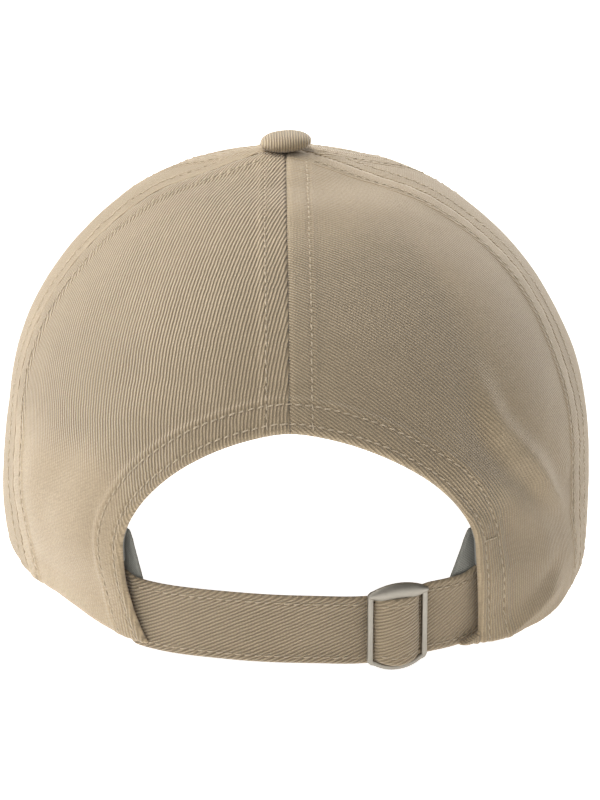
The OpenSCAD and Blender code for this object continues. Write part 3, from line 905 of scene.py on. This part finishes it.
STRAP_ROW = 2.1
phi = np.linspace(-48, 48, 330)
across = dense([(0.045, 8), (0.16, 10), (0.84, 26), (0.955, 10), (1, 8)])
ph, kk = np.meshgrid(phi, 1 - across)
ww = kk * STRAP_W
edge_d = np.minimum(ww, STRAP_W - ww)
pts = on_arc(ph, ww, 0 * ww)
length_at = np.radians(ph) * STRAP_R
wave = 0.3 * noise(pts, 20, 21) + 0.12 * noise(pts, 8, 22)
# rounded edges, a raised hem each side, and a groove where the stitches pull
out = wave - 0.62 * (1 - np.clip(edge_d / 0.9, 0, 1)) ** 2
out += 0.16 * (1 - smooth((edge_d - 2.9) / 0.8))
out -= (0.17 + 0.08 * np.cos(2 * np.pi * length_at / PITCH)) * bell(edge_d - STRAP_ROW, 0.5)
out += 0.07 * np.sin(2 * np.pi * length_at / 3.4 + 2 * noise(pts, 9, 23)) * bell(edge_d - 2.2, 1.6)
visible = smooth((52 - np.abs(ph)) / 7)
# it dips in four places (angle, depth, width); its left end narrows and tucks under the panel
dips = ((-16, 1.8, 12), (-36, 1.15, 9), (6, 0.5, 13), (34, 1.3, 15))
lift = -visible * sum(deep * bell(ph - at, wide) for at, deep, wide in dips)
top_gain = 0.75 * smooth((-ph - 24) / 5) + 1.1 * smooth((-ph - 37) / 5)
hide = smooth((ph - 37) / 5)
w_out = ww + lift * (1 - hide) + top_gain * kk + 2.6 * hide * (1 - kk)
front = on_arc(ph, w_out, out * (0.35 + 0.65 * visible) - 0.12 - 0.7 * hide)
back = on_arc(ph, w_out, -1.05 + 0.4 * out * visible - 0.7 * hide)
# lighter along the strap's worn, rounded edges, with a painted highlight; painted shade in the stitch grooves
wear_and_shading = 0.8 * bell(edge_d, 0.7) - 0.25 * bell(edge_d - STRAP_ROW, 0.5)
uv = join(-length_at, ww)
ob = shell("strap_cloth", front, back, uv, 0.18, wear_and_shading, 0.5 * smooth((-ph - 24) / 4))
dress(ob, mat_strap, "cap")
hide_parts("adjusting_strap")
for w_row, tag in ((STRAP_ROW, "low"), (STRAP_W - STRAP_ROW, "top")):
    for a, b, part in ((-38.5, -27.6, "right"), (-12.8, 36.5, "left")):
        f = np.linspace(a, b, 300)
        j = np.argmin(np.abs(ww[:, 0] - w_row))
        o = np.interp(f, phi, (out * (0.35 + 0.65 * visible))[j]) - 0.02
        wz = np.interp(f, phi, w_out[j])
        p = on_arc(f, wz, o + 0.06)
        stitches(f"stitch_strap_{tag}_{part}", p, outward(f))


# ---- buckle
def at_buckle(x, y, z):
    """x along the strap to the wearer's left, y up, z out of the strap; all in millimetres."""
    t = math.radians(-BUCKLE_AT)
    r = STRAP_R + 0.9 + np.asarray(z, float)
    er, et = np.array([math.sin(t), math.cos(t), 0]), np.array([math.cos(t), -math.sin(t), 0])
    x, y = np.asarray(x, float), np.asarray(y, float)
    middle, up = np.array([0, STRAP_C, BUCKLE_MID]), np.array([0, 0, 1.0])
    return middle + r[..., None] * er + x[..., None] * et + y[..., None] * up


def tube(path, section):
    """Sweeps a section (points across and out) along a closed path of (x, y, z, width factor)."""
    path = np.asarray(path, float)
    nxt, prv = np.roll(path[:, :2], -1, 0), np.roll(path[:, :2], 1, 0)
    tan = unit(nxt - prv)
    out = join(tan[:, 1], -tan[:, 0])
    x = path[:, None, 0] + out[:, None, 0] * section[None, :, 0] * path[:, None, 3]
    y = path[:, None, 1] + out[:, None, 1] * section[None, :, 0] * path[:, None, 3]
    z = path[:, None, 2] + section[None, :, 1] * path[:, None, 3] ** 0.4
    return at_buckle(x, y, z).reshape(-1, 3), grid(len(path), len(section), (True, True))


def ring_path():
    """Centre line of the frame: straight rails, a bowed top and a sagging bottom rail, rounded corners."""
    round_r, sag, bow = 1.1, 2.1, 0.5
    side, top, low = BUCKLE_W / 2 - 0.85, BUCKLE_H / 2 - 2.7, -BUCKLE_H / 2 + 0.8
    flat, foot = side - round_r, low + sag + round_r

    def corner(x, y, start):
        a = np.radians(np.linspace(start, start + 90, 10))
        return join(x + round_r * np.cos(a), y + round_r * np.sin(a))

    up = np.linspace(foot, top - round_r, 26)[1:-1]
    down = np.linspace(top - round_r, foot, 26)[1:-1]
    back = np.linspace(flat, -flat, 26)[1:-1]
    over = np.linspace(-flat, flat, 40)[1:-1]
    return np.concatenate([
        corner(flat, foot, -90), join(side + 0 * up, up),
        corner(flat, top - round_r, 0), join(back, top + bow * (1 - (back / flat) ** 2)),
        corner(-flat, top - round_r, 90), join(-side + 0 * down, down),
        corner(-flat, foot, 180), join(over, low + sag * (over / flat) ** 2)])


# the frame: squarish wire, thinner and further out along its foot
path = ring_path()
zc = 0.85 + 0.35 * bell(path[:, 1] + BUCKLE_H / 2 - 1.2, 1.2)
slim = 1 - 0.2 * smooth((-path[:, 1] - 9) / 2)
path4 = np.column_stack([path, zc, slim])
a = np.linspace(0, 2 * np.pi, 21)[:-1]
turn = join(np.cos(a), np.sin(a))
section = np.array([0.84, 0.82]) * (np.sign(turn) * np.abs(turn) ** 0.55)
v1, q1 = tube(path4, section)
# the domed lip
nx, ny = 49, 17
X, T = np.meshgrid(np.linspace(-1, 1, nx), np.linspace(0, 1, ny))
half = BUCKLE_W / 2 + 0.1
top_y = BUCKLE_H / 2 - 2.45 + 2.45 * np.clip(1 - X ** 2, 0, 1) ** 0.85
low_y = BUCKLE_H / 2 - 3.5 - 2.0 * np.clip(1 - np.abs(X) ** 2.2, 0, 1)
ly = low_y + (top_y - low_y) * (0.5 - 0.5 * np.cos(np.pi * T))
bulge = np.sin(np.pi * T) * (0.35 + 0.65 * np.sqrt(np.clip(1 - X ** 2, 0, 1)))
qa = grid(ny, nx)
qb = qa[:, TURNED] + nx * ny
rim = rim_of(ny, nx)
r1 = np.roll(rim, -1)
qr = join(rim, r1, r1 + nx * ny, rim + nx * ny)
v2 = np.concatenate([at_buckle(X * half, ly, z).reshape(-1, 3) for z in (1.3 + 1.7 * bulge, 1.25 - 0.5 * bulge)])
# the centre bar
ba, by = np.meshgrid(np.linspace(0, 2 * np.pi, 25)[:-1], np.linspace(-BUCKLE_H / 2 + 1.2, BUCKLE_H / 2 - 1.6, 12))
v3 = at_buckle(0.8 * np.cos(ba), by, 1.1 + 0.8 * np.sin(ba)).reshape(-1, 3)
q3 = grid(*ba.shape, (False, True))[:, TURNED]
ob = new_mesh("buckle_metal_frame", np.concatenate([v1, v2, v3]),
              np.concatenate([q1, np.concatenate([qa, qb, qr]) + len(v1), q3 + len(v1) + len(v2)]))
dress(ob, mat_buckle, "buckle")
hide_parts("buckle_frame")

# the stretch of strap over the centre bar
half_f, low_f, high_f = 6.8, -BUCKLE_H / 2 + 3.6, BUCKLE_H / 2 - 4.4


def fold_rise(x):
    """How far the fold stands off the strap."""
    return 0.25 + 3.5 * np.clip(1 - (x / half_f) ** 2, 0, 1) ** 0.55


xs, yk = np.meshgrid(np.sin(np.linspace(-1, 1, 61) * np.pi / 2) * half_f, dense([(0.06, 6), (0.94, 28), (1, 6)])[::-1])
ys = low_f + (high_f - low_f) * yk
drop = (1 - (xs / half_f) ** 2)
ys = ys - 1.75 * drop * (1 - yk) ** 2
lift = fold_rise(xs)
ed = np.minimum(ys - ys[-1:], ys[:1] - ys)
q = join(xs, ys, lift)
lift2 = lift + 0.14 * noise(q, 5, 31) + 0.18 * noise(q * np.array([0.25, 1, 1]), 3.5, 32)
lift2 -= 0.5 * (1 - np.clip(ed / 0.9, 0, 1)) ** 2
lift2 -= 0.14 * bell(ed - 2.0, 0.45)
front = at_buckle(-xs, ys, lift2)
back = at_buckle(-xs * 0.95, ys, np.maximum(lift2 - 0.9, -0.25))
uv = join(xs * 1.25, ys)
# its last number lightens the worn edges with a painted highlight and puts painted shade in the stitch grooves
ob = shell("strap_fold_cloth", front, back, uv, 0.1, 0.6 * bell(ed, 0.7) - 0.2 * bell(ed - 2.0, 0.5))
dress(ob, mat_fold, "buckle")
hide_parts("strap_fold")
xr = np.linspace(-5.8, 5.8, 60)
for y_row, tag in ((low_f + 2.0, "low"), (high_f - 2.0, "top")):
    lz = fold_rise(xr)
    p = at_buckle(-xr, y_row - (1.35 if tag == "low" else 0) * (1 - (xr / half_f) ** 2), lz - 0.05)
    n = unit(at_buckle(-xr * 2, y_row, lz * 3) - at_buckle(0, y_row, 0))
    stitches(f"stitch_fold_{tag}", p, n, body="buckle")

# ---- top button
prof_a = np.linspace(-90, 90, 41)
az = np.linspace(0, 360, 121)[:-1]
P, Z = np.meshgrid(np.radians(prof_a), np.radians(az), indexing="ij")
hgt = np.where(P > 0, 2.75 * np.sin(P), 2.65 * np.sin(P)) + 2.85
crease = 1 + 0.010 * np.sin(12 * Z + 1.5 * np.sin(3 * Z)) * bell(P + 0.55, 0.45)
rad = 7.75 * np.cos(P) ** 0.72 * crease
bu = join(3.3 + rad * np.sin(Z), rad * np.cos(Z) - APEX, HIGH + hgt + rad * np.sin(Z) * -0.055)
bu = bu + 0.08 * noise(bu, 4, 41)[..., None] * np.array([0, 0, 1.0])
uvb = join(bu[..., 0], bu[..., 1] + bu[..., 2] * 0.9)
q = grid(len(prof_a), len(az), (False, True))[:, TURNED]
ob = new_mesh("button_cloth", bu, q[:, ::-1], uvb)
dress(ob, mat_button, "cap")
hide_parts("button_cover", "button_shell")

# ---- visor
VL, VHW, VC, VSL, VD, VCURL, VX = 70.0, 86.0, 64.0, 0.1876, 29.3, 0.00336, 0.003
V_END_HALF, V_END_FWD, BOARD, GAP, COVER = 78.0, 44.0, 2.0, 0.3, 0.8
EA, EB = HALF_W * (1 - PULL_S) - 2.5, HALF_L * (1 - PULL_E) - 2.5


def visor_base(f):
    """Where the visor meets the crown, at a share f of its spread, seen from above."""
    t = np.radians(180 + f * VC)
    return join(-EA * np.sin(t), -EB * np.cos(t))


def visor_edge(f):
    a = np.abs(f) * np.pi / 2
    full = HALF_L * (1 - PULL_E) + VL
    return join(np.sign(f) * (VHW * np.sin(a) ** 0.9 - (VHW - V_END_HALF) * np.abs(f) ** 6),
                V_END_FWD + (full - V_END_FWD) * np.maximum(np.cos(a), 0) ** 0.85)


def visor_point(f, t):
    """The middle of the visor board, t from its base to its edge. It is curled, and seated on the hem."""
    p, e = visor_base(f), visor_edge(f)
    g = p + (e - p) * t[..., None]
    far = np.linalg.norm(e - p, axis=-1) * t / 60
    curve = lambda q, k: VD - VSL * q[..., 1] - (VCURL + VX * k) * q[..., 0] ** 2
    seat = hem_rise(180 + f * VC) - 0.3 - (BOARD / 2 + GAP + COVER) - curve(p, 0)
    return join(-g[..., 0], -g[..., 1], curve(g, far) + seat * (1 - t) ** 2)


# the visor's edge as evenly spaced points, for the distance to it
fv = np.linspace(-1, 1, 4001)
keep_len = run_along(visor_point(fv, np.ones(4001)))
rim_at = np.linspace(0, keep_len[-1], 1500)
rim_tree = tree_of(visor_point(np.interp(rim_at, keep_len, fv), np.ones(1500)))
VROWS = (4.0, 10.5, 17.0, 23.5, 30.0, 36.5, 43.0, 49.5)


def visor_sheet(name, side, mat, node):
    """The upper (side 1) or under (side -1) cover, wrapped over the board's edge, with sewn rows."""
    f = np.interp(np.linspace(0, keep_len[-1], 230), keep_len, fv)
    t = dense([(0.05, 4), (0.93, 110), (1, 16)])
    mid = visor_point(*np.meshgrid(f, t))
    i, d = nearest(rim_tree, mid)
    l = rim_at[i]
    half_t = BOARD / 2 + GAP + COVER * 0.5
    lift = half_t + 0.15 * noise(mid, 25, 51) + 0.05 * noise(mid, 7, 52)
    for row in VROWS:
        lift -= (0.24 + 0.08 * np.cos(2 * np.pi * l / PITCH)) * bell(d - row, 0.8)
    lift += 0.08 * np.sin(2 * np.pi * d / 6.5)
    roll = np.sqrt(np.clip(1 - (1 - np.clip(d / 2.0, 0, 1)) ** 2, 0, 1))
    lift = lift * (0.06 + 0.94 * roll)
    inward = np.linalg.norm((mid - mid[:1])[..., :2], axis=-1)
    lift = lift + 1.15 * (1 - smooth((inward - 2.6) / 3.0)) * (side > 0)
    # lighter at the worn, rolled edge with a painted highlight; painted shade in each sewn groove and a painted
    # highlight on the puckered cloth beside it
    wear_and_shading = 0.9 * bell(d, 1.2)
    for row in VROWS:
        wear_and_shading = wear_and_shading - 0.3 * bell(d - row, 0.6) + 0.18 * bell(d - row - 1.3, 0.9)
    outer = mid + join(0 * lift, 0 * lift, side * lift)
    inner = mid + join(0 * lift, 0 * lift, side * np.maximum(lift - COVER, 0.02))
    uvv = join(mid[..., 0], np.sqrt(1 + VSL ** 2) * mid[..., 1])
    way = slice(None, None, side)
    ob = shell(name, outer[:, way], inner[:, way], uvv[:, way], wear_and_shading=wear_and_shading[:, way])
    dress(ob, mat, "cap")
    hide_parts(node)
    fx, tx = np.linspace(-0.985, 0.985, 420), np.linspace(0.02, 1, 200)
    _, d = nearest(rim_tree, visor_point(*np.meshgrid(fx, tx, indexing="ij")))
    for k, row in enumerate(VROWS):
        near = np.abs(d - row).min(1) < 0.8
        f = fx[near]
        t = np.array([np.interp(-row, -line, tx) for line in d[near]])
        p = visor_point(f, t) + np.array([0, 0, side * (half_t - 0.18)])
        n = join(0 * f, 0 * f, 0 * f + side)
        stitches(f"stitch_{name}_{k}", p, n, thick=0.2)


visor_sheet("visor_upper_cloth", 1, mat_visor, "visor_top_cover")
visor_sheet("visor_under_cloth", -1, mat_under, "visor_under_cover")


# ---- CAD nodes that stay
def repaint(node, mat):
    ob = next((o for o in bpy.data.objects if o.get("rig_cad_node") == node or o.name == node), None)
    if ob is not None:
        for slot in ob.material_slots:
            slot.material = mat
        if not ob.material_slots:
            ob.data.materials.append(mat)


repaint("visor_board", metal("board_plastic", (0.7, 0.68, 0.62), 0.5))
repaint("button_back", mat_button_metal)
repaint("bar_wrap", mat_thread)

# ---- floor, light and camera
floor = bpy.data.meshes.new("floor")
floor.from_pydata([(-9, -14, 0), (9, -14, 0), (9, 6, 0), (-9, 6, 0)], [], [(0, 1, 2, 3)])
floor_ob = new_object("floor", floor)
fm = Nodes("floor_paper")
fm.set(Base_Color=(0.8, 0.8, 0.8, 1.0), Roughness=0.9, Emission_Color=(1.0, 1.0, 1.0, 1.0))
fx, fy, _ = fm.split(fm.place())
away = fm.math("SQRT", fm.add(fm.mul(fx, fx), fm.mul(fy, fy)))
# it glows close round the cap, which paints out the cap's shadow and the shaded floor seen through the opening, and
# again far off, so that the paper reads white
near = fm.range(away, 0.11, 0.26, 0.97, 0.12)
fm.set(Emission_Strength=fm.math("MAXIMUM", near, fm.range(away, 0.4, 1.1, 0.0, 1.0)), Specular_IOR_Level=0.1)
floor_ob.data.materials.append(fm.mat)

world = bpy.data.worlds.new("studio")
bpy.context.scene.world = world
world.use_nodes = True
sky = world.node_tree.nodes["Background"].inputs
sky[0].default_value, sky[1].default_value = (1, 1, 1, 1), 0.185

for name, where, aim, power, wide, high in (
        ("key", (1.3, -0.4, 0.55), (0.0, 0.0, 0.06), 14.5, 0.8, 0.9),
        ("right", (-0.85, -1.35, 0.48), (0.0, 0.0, 0.06), 33, 0.8, 0.8),
        ("top", (0.5, -0.25, 1.2), (0.0, 0.0, 0.08), 22, 1.1, 1.4),
        ("front", (0.5, 1.45, 1.05), (0.0, 0.05, 0.06), 7, 1.0, 1.0)):
    data = bpy.data.lights.new(name, "AREA")
    data.shape, data.size, data.size_y, data.energy = "RECTANGLE", wide, high, power
    look(new_object(name, data), where, aim)

# The camera looks at the back from 18 degrees above the hem plane. It aims a little right of and
# below a point 60 mm up the middle, so that the cap sits where it should in an upright frame.
CAM_UP, CAM_YAW, CAM_FAR, LENS = math.radians(18), math.radians(0.5), 1100.0, 163.71
AIM_RIGHT, AIM_DOWN = 0.9071, 13.425
toward = np.array([math.sin(CAM_YAW) * math.cos(CAM_UP), math.cos(CAM_YAW) * math.cos(CAM_UP), math.sin(CAM_UP)])
target = np.array([0, 0, 60.0])
eye = target + CAM_FAR * toward
right = unit(np.cross(-toward, np.array([0, 0, 1.0])))
up = np.cross(right, -toward)
aim = target + right * AIM_RIGHT - up * AIM_DOWN
cam = bpy.data.cameras.new("camera")
cam.sensor_fit, cam.sensor_width, cam.lens = "AUTO", 36, LENS
cam.clip_start, cam.clip_end = 0.05, 60
cam_ob = new_object("camera", cam)
look(cam_ob, row_frame(eye), row_frame(aim))
bpy.context.scene.camera = cam_ob
bpy.context.scene.view_settings.view_transform = "Standard"
